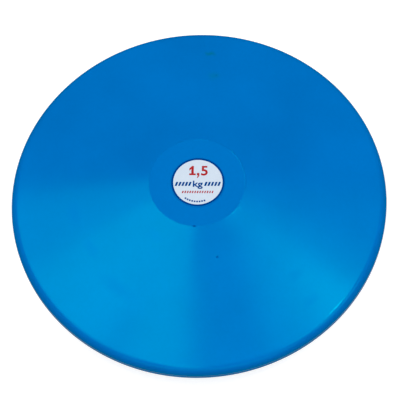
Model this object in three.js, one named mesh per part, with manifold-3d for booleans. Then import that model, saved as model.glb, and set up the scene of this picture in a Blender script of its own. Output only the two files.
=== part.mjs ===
// Soft throwing discus of the 1.5 kg size, in millimetres.
// +Z is up. The origin is the middle of the lower flat centre, on which the discus lies.
//
// Two moulded half shells of soft PVC meet at the rim, with a tongue in a groove. A heavy
// mineral-filled ballast, shaped like a lens, fills the cavity, and keys inside the shells
// make it spin with the rim. A stepped plug closes the middle of each shell and is its flat
// centre. A round label lies on the upper plug.

import * as THREE from "three";
import { mergeVertices, toCreasedNormals } from "three/addons/utils/BufferGeometryUtils.js";
import Module from "manifold-3d";

// Outer form, as the rules of athletics give it for a discus of 1.5 kg
const outerDiameter = 201;
const centreThickness = 39;
const rimThickness = 12;
const rimBand = 2.5; // height of the upright band round the rim
const seamBevel = 0.3;

// Half shells
const wallThickness = 5;
const solidRimWidth = 16; // outside the cavity

// Centre plugs
const plugDiameter = 50.6;
const plugJointGap = 0.25; // hairline round the plug
const plugEdgeBevel = 0.2; // on the plug and on the shell's edge round it
const ledgeWidth = 7.3; // ring of shell that the plug's flange stands on
const ledgeThickness = 2;
const spigotClearance = 0.3;
const spigotEndBevel = 0.8;

// Tongue on the lower shell, groove in the upper one
const tongueWidth = 3;
const tongueHeight = 2.5;
const tongueTaper = 0.3; // on each side
const tongueClearance = 0.3;

// Keys on the inside of the cones
const keyCount = 8;
const keyWidth = 5;
const keyHeight = 2;
const keyRoot = 1; // depth to which a key is rooted in its wall
const keyStartShare = 0.16; // of the inner cone's length
const keyEndShare = 0.86;

// Ballast
const ballastClearance = 0.3;

// Label
const labelDiameter = 28.8;
const labelThickness = 0.3;
const labelEdgeBevel = 0.1;

// Facets
const turnSegments = 96;
const rimArcSteps = 6;
const cavityArcSteps = 3;
const smoothAngle = THREE.MathUtils.degToRad(25);

// Places on the outer section, as radius and height above the middle plane
const outerRadius = outerDiameter / 2;
const halfThickness = centreThickness / 2;
const rimEdgeRadius = (rimThickness - rimBand) / 2;
const rimEdgeCentre = point(outerRadius - rimEdgeRadius, rimBand / 2);
const plugRadius = plugDiameter / 2;
const plugSeatRadius = plugRadius + plugJointGap;
const coneStart = point(plugSeatRadius + plugEdgeBevel, halfThickness);

// The cone starts beside the plug and meets the rounded edge of the rim as a tangent.
const startToEdge = rimEdgeCentre.clone().sub(coneStart);
const coneSlope = Math.atan2(-startToEdge.y, startToEdge.x);
const coneAngle = coneSlope - Math.asin(rimEdgeRadius / startToEdge.length());
const coneNormal = point(Math.sin(coneAngle), Math.cos(coneAngle));
const coneNormalAngle = coneNormal.angle();

// The cavity has the same cone, one wall further in, and ends in an arc at the middle plane.
const cavityRadius = outerRadius - solidRimWidth;
const cavityHalfHeight = halfThickness - wallThickness;
const cavityConeReach = coneStart.dot(coneNormal) - wallThickness;
const cavityEdgeRadius = (cavityConeReach - cavityRadius * coneNormal.x) / (1 - coneNormal.x);
const cavityEdgeCentre = point(cavityRadius - cavityEdgeRadius, 0);

// Seat of a plug
const flangeThickness = wallThickness - ledgeThickness;
const flangeHeight = halfThickness - flangeThickness;
const spigotRadius = plugRadius - ledgeWidth;

// The tongue stands in the middle of the solid rim.
const tongueRadius = outerRadius - solidRimWidth / 2;

function point(x, y) {
  return new THREE.Vector2(x, y);
}

function arcPoints(centre, radius, fromAngle, toAngle, steps) {
  const points = [];
  for (let step = 0; step <= steps; step++) {
    const angle = THREE.MathUtils.lerp(fromAngle, toAngle, step / steps);
    points.push(point(radius, 0).rotateAround(point(0, 0), angle).add(centre));
  }
  return points;
}

// Where the level ceiling turns into the cone, this far inside the outer surface
function ceilingCorner(inset) {
  return point(coneStart.x - inset * Math.tan(coneAngle / 2), halfThickness - inset);
}

// The same section under the middle plane, still running counter-clockwise
function mirrored(profile) {
  return profile.map(({ x, y }) => point(x, -y)).reverse();
}

// Turns a section that runs counter-clockwise, in radius and height, about the Z axis.
function turned(profile) {
  return new THREE.LatheGeometry(profile, turnSegments).rotateX(Math.PI / 2);
}

// Half shell above the middle plane. The joint is the outline of its tongue or its groove.
function shellProfile(joint) {
  const profile = [
    ...joint,
    point(outerRadius - seamBevel, 0),
    point(outerRadius, seamBevel),
    ...arcPoints(rimEdgeCentre, rimEdgeRadius, 0, coneNormalAngle, rimArcSteps),
    coneStart,
    point(plugSeatRadius, halfThickness - plugEdgeBevel),
    point(plugSeatRadius, flangeHeight),
    point(spigotRadius + spigotClearance, flangeHeight),
    point(spigotRadius + spigotClearance, cavityHalfHeight),
    ceilingCorner(wallThickness),
    ...arcPoints(cavityEdgeCentre, cavityEdgeRadius, coneNormalAngle, 0, cavityArcSteps),
  ];
  return [...profile, profile[0]];
}

// Outline of a ridge that tapers away from the mating face, or of the channel that takes it
function jointOutline(baseWidth, height) {
  const inner = tongueRadius - baseWidth / 2;
  const outer = tongueRadius + baseWidth / 2;
  return [
    point(inner, 0),
    point(inner + tongueTaper, height),
    point(outer - tongueTaper, height),
    point(outer, 0),
  ];
}

function tongueOutline() {
  return jointOutline(tongueWidth, -tongueHeight);
}

function grooveOutline() {
  return jointOutline(tongueWidth + 2 * tongueClearance, tongueHeight + tongueClearance);
}

function plugProfile() {
  return [
    point(0, cavityHalfHeight),
    point(spigotRadius - spigotEndBevel, cavityHalfHeight),
    point(spigotRadius, cavityHalfHeight + spigotEndBevel),
    point(spigotRadius, flangeHeight),
    point(plugRadius, flangeHeight),
    point(plugRadius, halfThickness - plugEdgeBevel),
    point(plugRadius - plugEdgeBevel, halfThickness),
    point(0, halfThickness),
  ];
}

function ballastProfile() {
  const corner = ceilingCorner(wallThickness + ballastClearance);
  const edgeRadius = cavityEdgeRadius - ballastClearance;
  const upperHalf = [
    ...arcPoints(cavityEdgeCentre, edgeRadius, 0, coneNormalAngle, cavityArcSteps),
    corner,
    point(0, corner.y),
  ];
  return [...mirrored(upperHalf), ...upperHalf.slice(1)];
}

function labelProfile() {
  const labelRadius = labelDiameter / 2;
  const labelTop = halfThickness + labelThickness;
  return [
    point(0, halfThickness),
    point(labelRadius, halfThickness),
    point(labelRadius, labelTop - labelEdgeBevel),
    point(labelRadius - labelEdgeBevel, labelTop),
    point(0, labelTop),
  ];
}

// One key along the inside of the upper cone, over the X axis. Growth makes it larger on every
// side but the one in the wall, as the shape of the slot that takes it.
function keyBar(growth) {
  const coneTop = ceilingCorner(wallThickness);
  const coneEnd = cavityEdgeCentre.clone().addScaledVector(coneNormal, cavityEdgeRadius);
  const downhill = coneEnd.clone().sub(coneTop).normalize();
  const coneLength = coneTop.distanceTo(coneEnd);
  const start = coneLength * keyStartShare - growth;
  const end = coneLength * keyEndShare + growth;
  const depth = keyHeight + growth;
  const width = keyWidth + 2 * growth;
  const corner = (along, inward) =>
    coneTop.clone().addScaledVector(downhill, along).addScaledVector(coneNormal, -inward);
  const section = new THREE.Shape([
    corner(start, depth),
    corner(end, depth),
    corner(end, -keyRoot),
    corner(start, -keyRoot),
  ]);
  const bar = new THREE.ExtrudeGeometry(section, { depth: width, bevelEnabled: false });
  return bar.translate(0, 0, -width / 2).rotateX(Math.PI / 2);
}

// The ring of keys of one half, each as a solid. Turned over, the bars serve the lower half.
function keyRing(growth, turnedOver) {
  const bars = [];
  for (let index = 0; index < keyCount; index++) {
    const bar = keyBar(growth);
    if (turnedOver) bar.rotateX(Math.PI);
    bar.rotateZ((2 * Math.PI * index) / keyCount);
    bars.push(solidOf(bar));
  }
  return bars;
}

const wasm = await Module();
wasm.setup();

function solidOf(geometry) {
  const bare = geometry.clone();
  bare.deleteAttribute("normal");
  bare.deleteAttribute("uv");
  const merged = mergeVertices(bare);
  const vertProperties = merged.attributes.position.array;
  const triVerts = new Uint32Array(merged.index.array);
  return new wasm.Manifold(new wasm.Mesh({ numProp: 3, vertProperties, triVerts }));
}

function geometryOf(solid) {
  const { vertProperties, triVerts } = solid.getMesh();
  const geometry = new THREE.BufferGeometry();
  geometry.setAttribute("position", new THREE.BufferAttribute(vertProperties, 3));
  geometry.setIndex(new THREE.BufferAttribute(triVerts, 1));
  return geometry;
}

function shellGeometry(profile, turnedOver) {
  let shell = solidOf(turned(profile));
  for (const key of keyRing(0, turnedOver)) {
    shell = shell.add(key);
  }
  return geometryOf(shell);
}

function ballastGeometry() {
  let ballast = solidOf(turned(ballastProfile()));
  const slots = [...keyRing(ballastClearance, false), ...keyRing(ballastClearance, true)];
  for (const slot of slots) {
    ballast = ballast.subtract(slot);
  }
  return geometryOf(ballast);
}

function softPvc() {
  return new THREE.MeshStandardMaterial({ color: 0x0070c4, roughness: 0.35, metalness: 0 });
}

function mineralFill() {
  return new THREE.MeshStandardMaterial({ color: 0x55575a, roughness: 0.9, metalness: 0 });
}

function labelFilm() {
  return new THREE.MeshStandardMaterial({ color: 0xdde3ef, roughness: 0.45, metalness: 0 });
}

function piece(name, geometry, material) {
  const mesh = new THREE.Mesh(toCreasedNormals(geometry, smoothAngle), material);
  mesh.name = name;
  return mesh;
}

const discus = new THREE.Group();
discus.add(
  piece("lower_shell", shellGeometry(mirrored(shellProfile(tongueOutline())), true), softPvc()),
  piece("upper_shell", shellGeometry(shellProfile(grooveOutline()), false), softPvc()),
  piece("ballast_core", ballastGeometry(), mineralFill()),
  piece("lower_centre_plug", turned(mirrored(plugProfile())), softPvc()),
  piece("upper_centre_plug", turned(plugProfile()), softPvc()),
  piece("face_label", turned(labelProfile()), labelFilm()),
);
discus.position.z = halfThickness;

export default discus;
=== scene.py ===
import bpy, bmesh, math
from mathutils import Matrix, Vector, geometry, noise


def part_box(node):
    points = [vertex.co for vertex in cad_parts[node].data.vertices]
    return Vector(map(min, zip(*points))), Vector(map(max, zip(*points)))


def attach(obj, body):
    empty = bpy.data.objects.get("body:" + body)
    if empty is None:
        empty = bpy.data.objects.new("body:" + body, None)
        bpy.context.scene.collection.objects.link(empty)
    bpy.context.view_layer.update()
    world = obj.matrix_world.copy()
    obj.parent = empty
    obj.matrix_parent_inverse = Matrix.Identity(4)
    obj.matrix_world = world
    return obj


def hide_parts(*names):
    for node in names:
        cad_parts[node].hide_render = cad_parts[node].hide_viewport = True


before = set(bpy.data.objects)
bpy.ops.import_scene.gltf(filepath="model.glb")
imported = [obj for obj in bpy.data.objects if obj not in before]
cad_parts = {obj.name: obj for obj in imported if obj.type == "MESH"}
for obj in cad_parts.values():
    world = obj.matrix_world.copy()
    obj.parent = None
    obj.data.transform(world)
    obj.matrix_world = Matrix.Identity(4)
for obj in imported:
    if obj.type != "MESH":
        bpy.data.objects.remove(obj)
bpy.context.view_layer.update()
mm = 0.001

# the sizes that the frame gives; heights are in the part's own frame
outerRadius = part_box("upper_shell")[1].x
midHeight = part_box("upper_shell")[0].z
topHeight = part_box("upper_shell")[1].z
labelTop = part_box("face_label")[1].z
halfThickness = topHeight - midHeight
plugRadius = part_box("upper_centre_plug")[1].x
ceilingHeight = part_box("upper_centre_plug")[0].z - midHeight
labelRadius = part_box("face_label")[1].x

# camera of the photograph, worked out from the outline and the flat centre
camera = {
    "elevation": 64.74,
    "roll": -5.03,
    "distance": 788.0 * mm,  # from the middle of the discus
    "focal": 1466.8,  # in pixels of the 400 pixel frame
    "frame": 400,
    "offset": (-1.53, -2.20),  # of the optical axis from the frame's middle, in pixels
}

sensorWidth = 36


def placeCamera():
    e = math.radians(camera["elevation"])
    r = math.radians(camera["roll"])
    back = Vector((0, -math.cos(e), math.sin(e)))
    right = Vector((1, 0, 0))
    up = back.cross(right)
    turnedRight = right * math.cos(r) + up * math.sin(r)
    turnedUp = up * math.cos(r) - right * math.sin(r)
    data = bpy.data.cameras.new("photoCamera")
    data.sensor_width = sensorWidth
    data.lens = camera["focal"] / camera["frame"] * sensorWidth
    data.shift_x = -camera["offset"][0] / camera["frame"]
    data.shift_y = camera["offset"][1] / camera["frame"]
    obj = bpy.data.objects.new("photoCamera", data)
    place = Vector((0, 0, midHeight)) + back * camera["distance"]
    turn = Matrix((turnedRight, turnedUp, back)).transposed().to_4x4()
    obj.matrix_world = Matrix.Translation(place) @ turn
    bpy.context.scene.collection.objects.link(obj)
    bpy.context.scene.camera = obj


placeCamera()
print("camera placed")


# colours and nodes

def hexColour(code):
    channels = [int(code[i:i + 2], 16) / 255 for i in (1, 3, 5)]
    return [c / 12.92 if c <= 0.04045 else ((c + 0.055) / 1.055) ** 2.4 for c in channels] + [1]


def addNode(tree, kind, inputs=(), **settings):
    node = tree.nodes.new(kind)
    for name, value in settings.items():
        setattr(node, name, value)
    for name, value in dict(inputs).items():
        if isinstance(value, bpy.types.NodeSocket):
            tree.links.new(value, node.inputs[name])
        else:
            node.inputs[name].default_value = value
    return node


def newMaterial(name):
    material = bpy.data.materials.new(name)
    material.use_nodes = True
    material.node_tree.nodes.clear()
    return material, material.node_tree


pvc = {
    "base": "#0064b8",
    "deep": "#005eb0",
    "plugBase": "#0064b6",  # the flat centre is a little evener and brighter than the cone
    "plugDeep": "#0062b5",
    "roughness": 0.15,
    "glossRange": (-0.02, 0.04),  # how far the wiping marks move the roughness
    "ior": 1.53,
    "tint": "#00ffff",
    "cloud": 38 * mm,  # size of the faint patches in the colour
    "fleck": 1.6 * mm,  # and of the fine unevenness
    "shade": (0.95, 1.05),  # how far that darkens and lightens the colour
    "ringSpacing": 0.9 * mm,  # turning marks of the mould; the real ones are finer than this
    "ringDepth": 0.004 * mm,
    "grain": 0.6 * mm,
    "grainDepth": 0.003 * mm,
    "streakLength": 26 * mm,  # wiping marks, which run round the disc
    "streakWidth": 1.8 * mm,
    "streakRadius": 60 * mm,  # where they have that length
    "markWarp": 5 * mm,  # how far the edge of a mark wanders, over marks of markPatch
    "markPatch": 4 * mm,
}

# marks from handling on the upper face: radius, angle, length and width in mm and degrees, and
# colour
marks = {
    "greenSmear": (85.5, 81, 9, 4.2, "#005f8c"),
    "greenSmudge": (69.1, 78, 10, 8, "#0063a4"),
    "greenDot": (69.9, 77.4, 2, 2, "#00569a"),
    "leftPatch": (66.6, 187, 20, 12, "#005eb6"),
    "leftScuff": (64.9, 207, 20, 8, "#005cb5"),
    "frontScuff": (69.5, 228, 30, 12, "#005cb5"),
    "innerScuff": (36.8, 228, 14, 9, "#005fb6"),
    "rightScuff": (85.7, 308, 15, 9, "#005bb3"),
    "rightPatch": (71.0, 311, 16, 8, "#005cb3"),
}


# the height of the surface doesn't matter to a mark, only its place from above
def addMark(tree, colour, place, radius, angle, length, width, tone):
    turn = math.radians(angle)
    spot = addNode(tree, "ShaderNodeMapping", {
        "Vector": place, "Location": (radius * mm * math.cos(turn), radius * mm * math.sin(turn), 0),
        "Rotation": (0, 0, turn), "Scale": (width / 2 * mm, length / 2 * mm, 1)}, vector_type="TEXTURE")
    ball = addNode(tree, "ShaderNodeTexGradient", {"Vector": spot.outputs["Vector"]},
                   gradient_type="SPHERICAL")
    share = addNode(tree, "ShaderNodeMapRange", {"Value": ball.outputs["Fac"]},
                    interpolation_type="SMOOTHSTEP")
    mix = addNode(tree, "ShaderNodeMix", data_type="RGBA")
    tree.links.new(share.outputs["Result"], mix.inputs["Factor"])
    tree.links.new(colour, mix.inputs["A"])
    mix.inputs["B"].default_value = hexColour(tone)
    return mix.outputs["Result"]


# soft PVC, injection moulded in a turned steel mould: an even satin gloss, faint rings from
# the mould's turning, wiping marks that run round the disc, and pigment that isn't quite even
def mouldedSoftPvc(name, base, deep, seed, marks=()):
    material, tree = newMaterial(name)
    coordinate = addNode(tree, "ShaderNodeTexCoord").outputs["Object"]
    shifted = addNode(tree, "ShaderNodeMapping", {"Vector": coordinate, "Location": (seed, 0, 0)})
    place = shifted.outputs["Vector"]
    cloud = addNode(tree, "ShaderNodeTexNoise", {
        "Vector": place, "Scale": 1 / pvc["cloud"], "Detail": 3, "Roughness": 0.5})
    pigment = addNode(tree, "ShaderNodeValToRGB", {"Fac": cloud.outputs["Fac"]})
    pigment.color_ramp.elements[0].position = 0.3
    pigment.color_ramp.elements[0].color = hexColour(deep)
    pigment.color_ramp.elements[1].position = 0.7
    pigment.color_ramp.elements[1].color = hexColour(base)
    fleck = addNode(tree, "ShaderNodeTexNoise", {"Vector": place, "Scale": 1 / pvc["fleck"], "Detail": 2})
    shade = addNode(tree, "ShaderNodeMapRange", {
        "Value": fleck.outputs["Fac"], "To Min": pvc["shade"][0], "To Max": pvc["shade"][1]})
    tone = addNode(tree, "ShaderNodeHueSaturation", {
        "Color": pigment.outputs["Color"], "Value": shade.outputs["Result"]}).outputs["Color"]

    flat = addNode(tree, "ShaderNodeVectorMath", {0: coordinate, 1: (1, 1, 0)}, operation="MULTIPLY")
    radius = addNode(tree, "ShaderNodeVectorMath", {0: flat.outputs["Vector"]}, operation="LENGTH")
    wander = addNode(tree, "ShaderNodeTexNoise", {
        "Vector": place, "Scale": 1 / pvc["markPatch"], "Detail": 3})
    centred = addNode(tree, "ShaderNodeVectorMath", {0: wander.outputs["Color"], 1: (0.5, 0.5, 0.5)},
                      operation="SUBTRACT")
    warped = addNode(tree, "ShaderNodeVectorMath", {
        0: centred.outputs["Vector"], 1: (pvc["markWarp"], pvc["markWarp"], 0), 2: flat.outputs["Vector"]},
        operation="MULTIPLY_ADD")
    for mark in marks:
        tone = addMark(tree, tone, warped.outputs["Vector"], *mark)

    rings = addNode(tree, "ShaderNodeTexNoise", {
        "W": radius.outputs["Value"], "Scale": 1 / pvc["ringSpacing"], "Detail": 2}, noise_dimensions="1D")
    ringBump = addNode(tree, "ShaderNodeBump", {
        "Height": rings.outputs["Fac"], "Distance": pvc["ringDepth"]})
    grain = addNode(tree, "ShaderNodeTexNoise", {"Vector": place, "Scale": 1 / pvc["grain"], "Detail": 2})
    grainBump = addNode(tree, "ShaderNodeBump", {
        "Height": grain.outputs["Fac"], "Distance": pvc["grainDepth"], "Normal": ringBump.outputs["Normal"]})

    outward = addNode(tree, "ShaderNodeVectorMath", {0: flat.outputs["Vector"]}, operation="NORMALIZE")
    along = addNode(tree, "ShaderNodeVectorMath", {
        0: outward.outputs["Vector"], "Scale": pvc["streakRadius"] / pvc["streakLength"]}, operation="SCALE")
    across = addNode(tree, "ShaderNodeMath", {0: radius.outputs["Value"], 1: 1 / pvc["streakWidth"]},
                     operation="MULTIPLY")
    lift = addNode(tree, "ShaderNodeCombineXYZ", {"Z": across.outputs["Value"]})
    streakPlace = addNode(tree, "ShaderNodeVectorMath", {
        0: along.outputs["Vector"], 1: lift.outputs["Vector"]}, operation="ADD")
    streak = addNode(tree, "ShaderNodeTexNoise", {
        "Vector": streakPlace.outputs["Vector"], "Scale": 1, "Detail": 3})
    roughness = addNode(tree, "ShaderNodeMapRange", {
        "Value": streak.outputs["Fac"], "From Min": 0.25, "From Max": 0.75,
        "To Min": pvc["roughness"] + pvc["glossRange"][0],
        "To Max": pvc["roughness"] + pvc["glossRange"][1]})
    shader = addNode(tree, "ShaderNodeBsdfPrincipled", {
        "Base Color": tone, "Roughness": roughness.outputs["Result"],
        "IOR": pvc["ior"], "Specular Tint": hexColour(pvc["tint"]), "Normal": grainBump.outputs["Normal"]})
    addNode(tree, "ShaderNodeOutputMaterial", {"Surface": shader.outputs["BSDF"]})
    return material


film = {
    "white": "#c2cedd",
    "blue": "#052e7e",
    "red": "#a4000a",
    "mottle": 2.5 * mm,
    "shade": (0.96, 1.03),
}


# self-adhesive vinyl film, screen printed: a satin face with the ink a hair above it
def printedFilm(name, colour, roughness, ior=1.5):
    material, tree = newMaterial(name)
    coordinate = addNode(tree, "ShaderNodeTexCoord").outputs["Object"]
    mottle = addNode(tree, "ShaderNodeTexNoise", {
        "Vector": coordinate, "Scale": 1 / film["mottle"], "Detail": 3})
    shade = addNode(tree, "ShaderNodeMapRange", {
        "Value": mottle.outputs["Fac"], "To Min": film["shade"][0], "To Max": film["shade"][1]})
    tone = addNode(tree, "ShaderNodeHueSaturation", {
        "Color": hexColour(colour), "Value": shade.outputs["Result"]})
    shader = addNode(tree, "ShaderNodeBsdfPrincipled", {
        "Base Color": tone.outputs["Color"], "Roughness": roughness, "IOR": ior})
    addNode(tree, "ShaderNodeOutputMaterial", {"Surface": shader.outputs["BSDF"]})
    return material


compound = {"light": "#6a6c6e", "dark": "#46484b", "grain": 1.5 * mm, "roughness": 0.85}


# mineral-filled PVC, cast into the shells: dull grey with coarse filler grains
def filledCompound(name):
    material, tree = newMaterial(name)
    coordinate = addNode(tree, "ShaderNodeTexCoord").outputs["Object"]
    grains = addNode(tree, "ShaderNodeTexVoronoi", {"Vector": coordinate, "Scale": 1 / compound["grain"]})
    tone = addNode(tree, "ShaderNodeValToRGB", {"Fac": grains.outputs["Distance"]})
    tone.color_ramp.elements[0].color = hexColour(compound["light"])
    tone.color_ramp.elements[1].color = hexColour(compound["dark"])
    shader = addNode(tree, "ShaderNodeBsdfPrincipled", {
        "Base Color": tone.outputs["Color"], "Roughness": compound["roughness"]})
    addNode(tree, "ShaderNodeOutputMaterial", {"Surface": shader.outputs["BSDF"]})
    return material


# meshes

weldDistance = 0.001 * mm
ringTolerance = 0.01 * mm
outerFace = {
    "lowest": ceilingHeight * 0.3,
    "steepest": 0.2,  # upward part of the normal
    "cutAbove": ceilingHeight + 1 * mm,  # no edge of the inner face reaches this high
}


def isOuterFace(v):
    return v.co.z > outerFace["lowest"] and v.normal.z > outerFace["steepest"]


def spinSection(bm, corners, steps):
    verts = [bm.verts.new((radius, 0, height)) for radius, height in corners]
    edges = [bm.edges.new(pair) for pair in zip(verts, verts[1:])]
    if corners[0][0] > 0:
        edges.append(bm.edges.new((verts[-1], verts[0])))
    bmesh.ops.spin(bm, geom=verts + edges, axis=(0, 0, 1), cent=(0, 0, 0), angle=2 * math.pi,
                   steps=steps, use_merge=True)
    bmesh.ops.remove_doubles(bm, verts=bm.verts, dist=weldDistance)
    bmesh.ops.recalc_face_normals(bm, faces=bm.faces)


def ringEdges(bm, radius, height):
    def onRing(v):
        away = abs(math.hypot(v.co.x, v.co.y) - radius)
        return away < ringTolerance and abs(v.co.z - height) < ringTolerance
    return [e for e in bm.edges if onRing(e.verts[0]) and onRing(e.verts[1])]


def roundRing(bm, corner, offset, segments):
    bmesh.ops.bevel(bm, geom=ringEdges(bm, *corner), offset=offset, offset_type="OFFSET",
                    segments=segments, profile=0.5, affect="EDGES", material=-1, clamp_overlap=True)


# divides the ring of the outer face that crosses this radius
def cutRings(bm, radius, count):
    def crosses(e):
        radii = sorted(math.hypot(v.co.x, v.co.y) for v in e.verts)
        return radii[0] < radius < radii[1] and max(v.co.z for v in e.verts) > outerFace["cutAbove"]
    ring = [e for e in bm.edges if crosses(e)]
    bmesh.ops.subdivide_edges(bm, edges=ring, cuts=count - 1, use_grid_fill=True)
    bm.normal_update()


def finishMesh(bm, name, nodes, materials, sharpAngle=28):
    for edge in bm.edges:
        edge.smooth = edge.calc_face_angle(0) < math.radians(sharpAngle)
    for face in bm.faces:
        face.smooth = True
    mesh = bpy.data.meshes.new(name)
    bm.to_mesh(mesh)
    bm.free()
    for material in materials:
        mesh.materials.append(material)
    obj = bpy.data.objects.new(name, mesh)
    bpy.context.scene.collection.objects.link(obj)
    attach(obj, "root")
    if nodes:
        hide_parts(*nodes)
    return obj


shell = {
    "steps": 360,
    "coneGap": 0.25 * mm,  # from the plug to where the cone is as high as the plug
    "jointGap": 0.005 * mm,
    "rimRadius": 4.75 * mm,
    "rimBand": 2.5 * mm,
    "wall": 5 * mm,
    "solidRim": 16 * mm,
    "ledgeHole": 18.3 * mm,
    "ledgeHeight": 16.5 * mm,
    "edgeRound": 0.01 * mm,
    "edgeSegments": 3,
    "seamRound": 0.2 * mm,
    "seamSegments": 2,
    "rimSegments": 14,
    "hold": 0.6 * mm,  # a loop this near to an edge keeps the shading of the face level
    "rings": 40,
    "dentSize": 55 * mm,
    "dentDepth": 0.09 * mm,
    "dentEdge": 6 * mm,  # the dents fade out this near to the plug and the rim
}

# the joint round the plug stands a hair proud along two arcs; its inner slope is as steep as the
# cone on the other side of the disc, so the same light shows in it
ridge = {
    "profile": ((-0.3, 0), (0, 0.06), (0.2, 0.13), (0.9, 0)),  # distance from the joint and height, in mm
    "arcs": ((14, 34), (90, 24)),  # the middle of each, and how far it runs both ways, in degrees
    "taper": 9,
    "unevenness": 0.4,
    "patch": 2.4 * mm,
    "reach": 1.2 * mm,  # the finely divided ring on each side of the joint
    "rings": 12,
}


def ridgeProfile(distance):
    for (start, low), (end, high) in zip(ridge["profile"], ridge["profile"][1:]):
        if start <= distance < end:
            return low + (high - low) * (distance - start) / (end - start)
    return 0


def ridgeHeight(v):
    distance = (math.hypot(v.co.x, v.co.y) - plugRadius) / mm
    angle = math.degrees(math.atan2(v.co.y, v.co.x))
    swell = 1 + ridge["unevenness"] * noise.noise(Vector((v.co.x, v.co.y, 0)) / ridge["patch"])
    weight = max(fade(reach - abs((angle - middle + 180) % 360 - 180), ridge["taper"])
                 for middle, reach in ridge["arcs"])
    return ridgeProfile(distance) * mm * weight * swell


# small faults of the upper face, by radius and angle; the burrs at the joint stand up from it
faults = {
    "jointChip": {
        "radius": 25.3 * mm, "angle": 262, "length": 2.2 * mm, "width": 0.9 * mm, "depth": 0.48 * mm,
        "reach": 1.15 * mm, "cuts": 1},
    "pinhole": {
        "radius": 42.7 * mm, "angle": 279.4, "length": 1.1 * mm, "width": 1.1 * mm, "depth": 0.9 * mm,
        "reach": 3.2 * mm, "cuts": 3},
    "burr": {
        "radius": 25.05 * mm, "angle": 330.5, "length": 1.8 * mm, "width": 1.2 * mm, "depth": -0.14 * mm,
        "reach": 1 * mm, "cuts": 0},
    "smallBurr": {
        "radius": 26.1 * mm, "angle": 321.5, "length": 1.2 * mm, "width": 0.9 * mm, "depth": -0.05 * mm,
        "reach": 1 * mm, "cuts": 0},
    "liftedLip": {
        "radius": 25.65 * mm, "angle": 311, "length": 9 * mm, "width": 1.3 * mm, "depth": -0.04 * mm,
        "reach": 5 * mm, "cuts": 0},
}
plugFaults = ("jointChip", "burr", "liftedLip")


def lineHeight(radius, reach, slope):
    return (reach - radius * math.sin(slope)) / math.cos(slope)


# the cone that starts as high as the plug and meets the rounded rim
def coneSlope():
    start = Vector((plugRadius + shell["coneGap"], halfThickness))
    centre = Vector((outerRadius - shell["rimRadius"], shell["rimBand"] / 2))
    away = centre - start
    return math.atan2(-away.y, away.x) - math.asin(shell["rimRadius"] / away.length)


def makeHalf(name, node, side, seed, material):
    slope = coneSlope()
    seat = plugRadius + shell["jointGap"]
    coneStart = plugRadius + shell["coneGap"]
    reach = coneStart * math.sin(slope) + halfThickness * math.cos(slope)
    rimCorner = (outerRadius, lineHeight(outerRadius, reach, slope))
    rimOffset = shell["rimRadius"] * math.tan((math.pi / 2 - slope) / 2)
    rimHold = outerRadius - rimOffset - shell["hold"]
    lipEnd = seat + ridge["reach"]
    cavityRadius = outerRadius - shell["solidRim"]
    innerReach = reach - shell["wall"]
    ceilingEdge = (innerReach - ceilingHeight * math.cos(slope)) / math.sin(slope)
    bm = bmesh.new()
    spinSection(bm, [
        (seat, shell["ledgeHeight"]),
        (seat, lineHeight(seat, reach, slope)),
        (lipEnd, lineHeight(lipEnd, reach, slope)),
        (rimHold, lineHeight(rimHold, reach, slope)),
        rimCorner,
        (outerRadius, 0),
        (cavityRadius, 0),
        (cavityRadius, lineHeight(cavityRadius, innerReach, slope)),
        (ceilingEdge, ceilingHeight),
        (shell["ledgeHole"], ceilingHeight),
        (shell["ledgeHole"], shell["ledgeHeight"]),
    ], shell["steps"])
    roundRing(bm, rimCorner, rimOffset, shell["rimSegments"])
    roundRing(bm, (seat, lineHeight(seat, reach, slope)), shell["edgeRound"], shell["edgeSegments"])
    roundRing(bm, (outerRadius, 0), shell["seamRound"], shell["seamSegments"])
    cutRings(bm, (seat + lipEnd) / 2, ridge["rings"])
    cutRings(bm, (lipEnd + rimHold) / 2, shell["rings"])
    shapeFace(bm, seat, side, seed)
    if side > 0:
        for fault in faults.values():
            addFault(bm, fault)
    if side < 0:
        bmesh.ops.scale(bm, vec=(1, 1, -1), verts=bm.verts)
        bmesh.ops.recalc_face_normals(bm, faces=bm.faces)
    bmesh.ops.translate(bm, vec=(0, 0, midHeight), verts=bm.verts)
    return finishMesh(bm, name, [node], [material])


def fade(distance, width):
    t = min(max(distance / width, 0), 1)
    return t * t * (3 - 2 * t)


# soft PVC shrinks unevenly as it cools, so the face has shallow hollows
def shapeFace(bm, seat, side, seed):
    rimStart = outerRadius - shell["rimRadius"]
    offset = Vector((seed, seed, seed))
    for v in bm.verts:
        radius = math.hypot(v.co.x, v.co.y)
        if radius >= rimStart or not isOuterFace(v):
            continue
        weight = fade(radius - seat, shell["dentEdge"]) * fade(rimStart - radius, shell["dentEdge"])
        hollow = noise.noise(v.co / shell["dentSize"] + offset)
        v.co.z -= shell["dentDepth"] * weight * (0.5 + 0.5 * hollow)
        if side > 0:
            v.co.z += ridgeHeight(v)


def addFault(bm, fault):
    turn = math.radians(fault["angle"])
    outward = Vector((math.cos(turn), math.sin(turn), 0))
    along = Vector((-outward.y, outward.x, 0))
    middle = outward * fault["radius"]

    def offsetOf(v):
        away = Vector((v.co.x, v.co.y, 0)) - middle
        return away.dot(along), away.dot(outward)

    def isNear(v):
        return isOuterFace(v) and math.hypot(*offsetOf(v)) < fault["reach"]

    for _ in range(fault["cuts"]):
        near = [e for e in bm.edges if isNear(e.verts[0]) and isNear(e.verts[1])]
        bmesh.ops.subdivide_edges(bm, edges=near, cuts=1, use_grid_fill=True)
        bm.normal_update()
    for v in [v for v in bm.verts if isNear(v)]:
        lengthwise, crosswise = offsetOf(v)
        share = math.hypot(lengthwise / fault["length"] * 2, crosswise / fault["width"] * 2)
        v.co.z -= fault["depth"] * max(0, 1 - share * share)


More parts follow.
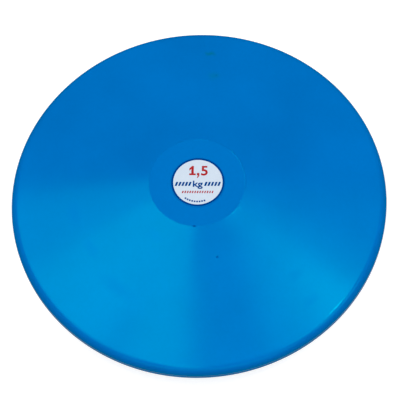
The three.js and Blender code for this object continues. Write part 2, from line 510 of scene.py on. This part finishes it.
plug = {
    "flange": 16.5 * mm,
    "spigot": 18 * mm,
    "spigotRound": 0.8 * mm,
    "spigotSegments": 2,
    "edgeRound": 0.01 * mm,
    "edgeSegments": 3,
    "liftedAbove": 17.5 * mm,  # the joint's relief is only in the top
}


def makePlug(name, node, side, material):
    bm = bmesh.new()
    hold = plugRadius - ridge["reach"]
    spinSection(bm, [
        (0, ceilingHeight),
        (plug["spigot"], ceilingHeight),
        (plug["spigot"], plug["flange"]),
        (plugRadius, plug["flange"]),
        (plugRadius, halfThickness),
        (hold, halfThickness),
        (0, halfThickness),
    ], shell["steps"])
    roundRing(bm, (plugRadius, halfThickness), plug["edgeRound"], plug["edgeSegments"])
    roundRing(bm, (plug["spigot"], ceilingHeight), plug["spigotRound"], plug["spigotSegments"])
    cutRings(bm, (hold + plugRadius) / 2, ridge["rings"])
    if side > 0:
        for v in bm.verts:
            if v.co.z > plug["liftedAbove"]:
                v.co.z += ridgeHeight(v)
        for fault in plugFaults:
            addFault(bm, faults[fault])
    if side < 0:
        bmesh.ops.scale(bm, vec=(1, 1, -1), verts=bm.verts)
        bmesh.ops.recalc_face_normals(bm, faces=bm.faces)
    bmesh.ops.translate(bm, vec=(0, 0, midHeight), verts=bm.verts)
    return finishMesh(bm, name, [node], [material])


# gives flat faces their thickness, upwards
def raiseFaces(bm, height):
    raised = bmesh.ops.extrude_face_region(bm, geom=bm.faces[:])
    top = [g for g in raised["geom"] if isinstance(g, bmesh.types.BMVert)]
    bmesh.ops.translate(bm, vec=(0, 0, height), verts=top)
    bmesh.ops.recalc_face_normals(bm, faces=bm.faces)


label = {
    "thickness": 0.24 * mm,
    "edge": 0.06 * mm,
    "ringRadius": 14.03 * mm,  # the print ends here, and the film round it is clear
    "fieldRadius": 12.97 * mm,
    "shift": (0.4 * mm, -0.15 * mm),  # it was stuck on by hand
}


def makeLabel():
    bm = bmesh.new()
    bmesh.ops.create_circle(bm, cap_ends=True, radius=labelRadius, segments=192)
    raiseFaces(bm, label["thickness"])
    roundRing(bm, (labelRadius, label["thickness"]), label["edge"], 1)
    white, blue, clear = range(3)
    top = [f for f in bm.faces if f.normal.z > 0.9]
    for face in bm.faces:
        face.material_index = clear
    bmesh.ops.inset_region(bm, faces=top, thickness=labelRadius - label["edge"] - label["ringRadius"])
    ring = bmesh.ops.inset_region(bm, faces=top, thickness=label["ringRadius"] - label["fieldRadius"])
    for face in ring["faces"]:
        face.material_index = blue
    for face in top:
        face.material_index = white
    bmesh.ops.translate(bm, vec=(*label["shift"], topHeight), verts=bm.verts)
    return finishMesh(bm, "round_label", ["face_label"], [whiteFilm, blueInk, clearFilm])


# the weight and its unit, rows of slanted bars and a row round the lower edge; places are from
# the label's middle
printing = {
    "ink": 0.05 * mm,
    "turn": -5.56,  # of the print on the plug, in degrees
    "bold": 0.0225,  # how much the built-in letters grow on each side, as a share of their size
    "join": 0.0001 * mm,
    "stroke": 1.25 * mm,  # of the one and the comma, which the built-in letters draw too plainly
    "slant": 0.35,
    "five": {"words": "5", "size": (3.5 * mm, 5.4 * mm), "middle": (3.35 * mm, 6.7 * mm)},
    "comma": {"tail": 1.5 * mm, "corner": (-0.55 * mm, 4.0 * mm)},
    "one": {"width": 3.4 * mm, "height": 5.4 * mm, "corner": (-4.6 * mm, 4.0 * mm)},
    "unit": {"words": "kg", "size": (5.2 * mm, 3.5 * mm), "middle": (0, -1.0 * mm)},
    "band": {"count": 5, "pitch": 1.75 * mm, "size": (1.05 * mm, 2.3 * mm), "middle": (7.7 * mm, -1.1 * mm)},
    "row": {"count": 13, "pitch": 1.3 * mm, "size": (0.65 * mm, 1.3 * mm), "middle": (0, -5.8 * mm)},
    "arc": {"count": 9, "pitch": 1.3 * mm, "size": (0.85 * mm, 0.9 * mm), "radius": 11.3 * mm,
            "start": -7.5},  # turned so far from the foot of the label, in degrees
}


def addLettering(bm, words, size, middle, ink):
    curve = bpy.data.curves.new(words, "FONT")
    curve.body = words
    curve.offset = printing["bold"]
    obj = bpy.data.objects.new(words, curve)
    bpy.context.scene.collection.objects.link(obj)
    bpy.context.view_layer.update()
    mesh = bpy.data.meshes.new_from_object(obj.evaluated_get(bpy.context.evaluated_depsgraph_get()))
    bpy.data.objects.remove(obj)
    left = min(v.co.x for v in mesh.vertices)
    right = max(v.co.x for v in mesh.vertices)
    top = max(v.co.y for v in mesh.vertices)
    centre = Matrix.Translation((-(left + right) / 2, -top / 2, 0))
    fit = Matrix.Diagonal((size[0] / (right - left), size[1] / top, 1, 1))
    mesh.transform(Matrix.Translation((*middle, 0)) @ fit @ centre)
    places = [v.co.to_2d() for v in mesh.vertices]
    pieces = [tuple(face.vertices) for face in mesh.polygons]
    # grown letters fold over themselves in tight corners, so their area is divided afresh
    corners, _, faces, _, _, origins = geometry.delaunay_2d_cdt(places, [], pieces, 0, printing["join"])
    verts = [bm.verts.new((*corner, 0)) for corner in corners]
    for face, origin in zip(faces, origins):
        if origin:
            bm.faces.new([verts[i] for i in face]).material_index = ink


def addBar(bm, size, middle, ink, slant=0, turn=0):
    made = bmesh.ops.create_grid(bm, x_segments=1, y_segments=1, size=0.5)["verts"]
    lean = Matrix.Identity(4)
    lean[0][1] = slant
    place = Matrix.Translation((*middle, 0)) @ Matrix.Rotation(turn, 4, "Z")
    bmesh.ops.transform(bm, matrix=place @ lean @ Matrix.Diagonal((*size, 1, 1)), verts=made)
    for face in made[0].link_faces:
        face.material_index = ink


def addRow(bm, count, pitch, size, middle, ink):
    for index in range(count):
        across = middle[0] + pitch * (index - (count - 1) / 2)
        addBar(bm, size, (across, middle[1]), ink, slant=printing["slant"])


def addArcRow(bm, count, pitch, size, radius, start, ink):
    for index in range(count):
        turn = math.radians(start) + pitch / radius * (index - (count - 1) / 2)
        addBar(bm, size, (radius * math.sin(turn), -radius * math.cos(turn)), ink, turn=turn)


def addOutline(bm, corners, corner, ink):
    verts = [bm.verts.new((corner[0] + x, corner[1] + y, 0)) for x, y in corners]
    bm.faces.new(verts).material_index = ink


# a one with a flag and a foot; both outlines start at the lower left corner, on the line
def addOne(bm, width, height, corner, ink):
    stroke = printing["stroke"]
    foot = stroke * 0.8
    left = (width - stroke) / 2
    right = left + stroke
    addOutline(bm, [
        (0, 0), (width, 0), (width, foot), (right, foot), (right, height), (left + stroke * 0.3, height),
        (0, height - stroke * 1.2), (0, height - stroke * 2.2), (left, height - stroke * 1.4), (left, foot),
        (0, foot)], corner, ink)


def addComma(bm, tail, corner, ink):
    stroke = printing["stroke"]
    addOutline(bm, [
        (0, 0), (stroke * 0.45, 0), (0, -tail), (stroke * 0.4, -tail), (stroke, -stroke * 0.2),
        (stroke, stroke), (0, stroke)], corner, ink)


def makePrint():
    bm = bmesh.new()
    red, blue = 0, 1
    addOne(bm, *printing["one"].values(), red)
    addComma(bm, *printing["comma"].values(), red)
    addLettering(bm, *printing["five"].values(), red)
    addLettering(bm, *printing["unit"].values(), blue)
    count, pitch, size, (across, up) = printing["band"].values()
    addRow(bm, count, pitch, size, (-across, up), blue)
    addRow(bm, count, pitch, size, (across, up), blue)
    addRow(bm, *printing["row"].values(), red)
    addArcRow(bm, *printing["arc"].values(), blue)
    bmesh.ops.remove_doubles(bm, verts=bm.verts, dist=weldDistance)
    raiseFaces(bm, printing["ink"])
    turn = Matrix.Rotation(math.radians(printing["turn"]), 3, "Z")
    bmesh.ops.rotate(bm, cent=(0, 0, 0), matrix=turn, verts=bm.verts)
    bmesh.ops.translate(bm, vec=(*label["shift"], topHeight + label["thickness"]), verts=bm.verts)
    return finishMesh(bm, "label_print", [], [redInk, blueInk])


bluePvc = mouldedSoftPvc("moulded soft PVC, blue, with marks", pvc["base"], pvc["deep"], 0, marks.values())
lowerPvc = mouldedSoftPvc("moulded soft PVC, blue", pvc["base"], pvc["deep"], 5.1)
plugPvc = mouldedSoftPvc("moulded soft PVC, blue plug", pvc["plugBase"], pvc["plugDeep"], 3.7)
makeHalf("upper_half", "upper_shell", 1, 1.3, bluePvc)
makeHalf("lower_half", "lower_shell", -1, 7.9, lowerPvc)
makePlug("upper_plug", "upper_centre_plug", 1, plugPvc)
makePlug("lower_plug", "lower_centre_plug", -1, plugPvc)
print("halves and plugs made")

whiteFilm = printedFilm("printed vinyl film, white", film["white"], 0.4)
blueInk = printedFilm("screen ink, dark blue", film["blue"], 0.5, 1.3)  # ink dries duller than film
redInk = printedFilm("screen ink, red", film["red"], 0.5, 1.3)
clearFilm = printedFilm("clear vinyl film on the blue PVC", pvc["plugBase"], 0.2)
makeLabel()
makePrint()
print("label made and printed")

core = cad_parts["ballast_core"]
core.data.materials.clear()
core.data.materials.append(filledCompound("mineral-filled PVC compound"))


# floor and light

studio = {
    "floor": "#b8b8b7",
    "floorRoughness": 0.9,
    "floorHalf": 3,  # half its width, in metres
    "glow": 0.72,  # the paper is lit from behind as well
    "below": 0.40,  # brightness of the room from below, at the horizon and overhead
    "horizon": 0.32,
    "zenith": 0.71,
    "height": 2.5,  # the softboxes hang level, in metres
    "step": 0.01,  # each a little above the last, because two in one plane hide each other
}

# shape, middle and size on that level, and brightness; the left softbox has its near corner cut
# off, so it doesn't show in the flat centre, and both are brightest round their bulbs
softboxes = {
    "leftSoftbox": ("RECTANGLE", (-1.27, 0.21), (1.34, 2.58), 1.67),
    "leftSoftboxFront": ("RECTANGLE", (-0.38, -0.70), (0.44, 2.40), 2.94),
    "leftBulb": ("DISK", (-0.95, 0.45), (0.90, 0.90), 1.36),
    "frontReflector": ("RECTANGLE", (0.32, -0.10), (0.96, 1.10), 0.46),
    "rightSoftbox": ("DISK", (0.95, 0.35), (0.90, 0.90), 0.80),
    "rightBulb": ("DISK", (0.95, 0.25), (0.50, 0.50), 0.84),
    "rightSoftboxFront": ("DISK", (0.66, -0.10), (0.50, 0.50), 1.42),
    "rightGlow": ("DISK", (1.05, 0.15), (0.40, 0.40), 2.56),
    "rightReflector": ("RECTANGLE", (1.25, 0.55), (0.90, 1.30), 0.51),
    "rimSoftbox": ("RECTANGLE", (1.25, -0.90), (0.80, 1.20), 2.6),
}

lamp = {"place": (1.235, -0.12), "size": 0.22, "brightness": 46}

# these two face the disc
fills = {
    "frontFill": {"place": (0, -3.6, 2.4), "size": (6.0, 1.6), "brightness": 0.66},
    "rimFill": {"place": (2.05, -0.95, 1.95), "size": (1.2, 1.2), "brightness": 1.4},
}


def makeFloor():
    bm = bmesh.new()
    bmesh.ops.create_grid(bm, x_segments=1, y_segments=1, size=studio["floorHalf"])
    mesh = bpy.data.meshes.new("studioFloor")
    bm.to_mesh(mesh)
    bm.free()
    material, tree = newMaterial("matt paper sweep")
    shader = addNode(tree, "ShaderNodeBsdfPrincipled", {
        "Base Color": hexColour(studio["floor"]), "Roughness": studio["floorRoughness"],
        "Emission Color": (1, 1, 1, 1), "Emission Strength": studio["glow"]})
    addNode(tree, "ShaderNodeOutputMaterial", {"Surface": shader.outputs["BSDF"]})
    mesh.materials.append(material)
    obj = bpy.data.objects.new("studioFloor", mesh)
    bpy.context.scene.collection.objects.link(obj)
    obj.visible_diffuse = False  # it shows and takes the shadow, but throws no light back
    obj.visible_glossy = False
    obj.visible_shadow = False


def addLight(name, shape, size, brightness, place, facing):
    data = bpy.data.lights.new(name, "AREA")
    data.shape = shape
    data.size, data.size_y = size
    area = size[0] * size[1] * (math.pi / 4 if shape == "DISK" else 1)
    data.energy = brightness * math.pi * area
    obj = bpy.data.objects.new(name, data)
    turn = Vector(facing).to_track_quat("-Z", "Y").to_matrix().to_4x4()
    obj.matrix_world = Matrix.Translation(place) @ turn
    bpy.context.scene.collection.objects.link(obj)


def lightWorld():
    world = bpy.data.worlds.new("studio")
    bpy.context.scene.world = world
    world.use_nodes = True
    tree = world.node_tree
    tree.nodes.clear()
    direction = addNode(tree, "ShaderNodeTexCoord").outputs["Generated"]
    height = addNode(tree, "ShaderNodeSeparateXYZ", {"Vector": direction}).outputs["Z"]
    share = addNode(tree, "ShaderNodeMapRange", {"Value": height, "From Min": -1})
    grade = addNode(tree, "ShaderNodeValToRGB", {"Fac": share.outputs["Result"]})
    grade.color_ramp.elements[0].color = (studio["below"],) * 3 + (1,)
    grade.color_ramp.elements[1].color = (studio["zenith"],) * 3 + (1,)
    grade.color_ramp.elements.new(0.5).color = (studio["horizon"],) * 3 + (1,)
    light = addNode(tree, "ShaderNodeBackground", {"Color": grade.outputs["Color"]})
    addNode(tree, "ShaderNodeOutputWorld", {"Surface": light.outputs["Background"]})


makeFloor()
lightWorld()
for index, (name, (shape, middle, size, brightness)) in enumerate(softboxes.items()):
    height = studio["height"] + studio["step"] * index
    addLight(name, shape, size, brightness, (*middle, height), (0, 0, -1))
lampPlace = Vector((*lamp["place"], studio["height"]))
addLight("rightLamp", "DISK", (lamp["size"],) * 2, lamp["brightness"], lampPlace, -lampPlace)
for name, fill in fills.items():
    addLight(name, "RECTANGLE", fill["size"], fill["brightness"], fill["place"], -Vector(fill["place"]))

# the camera sees no red at all in so strong a blue, so the weakest red goes
blackLevel = 0.035
view = bpy.context.scene.view_settings
view.view_transform = "Standard"
view.look = "None"
view.use_curve_mapping = True
view.curve_mapping.curves[0].points[0].location = (blackLevel, 0)
view.curve_mapping.update()
print("floor and light set")
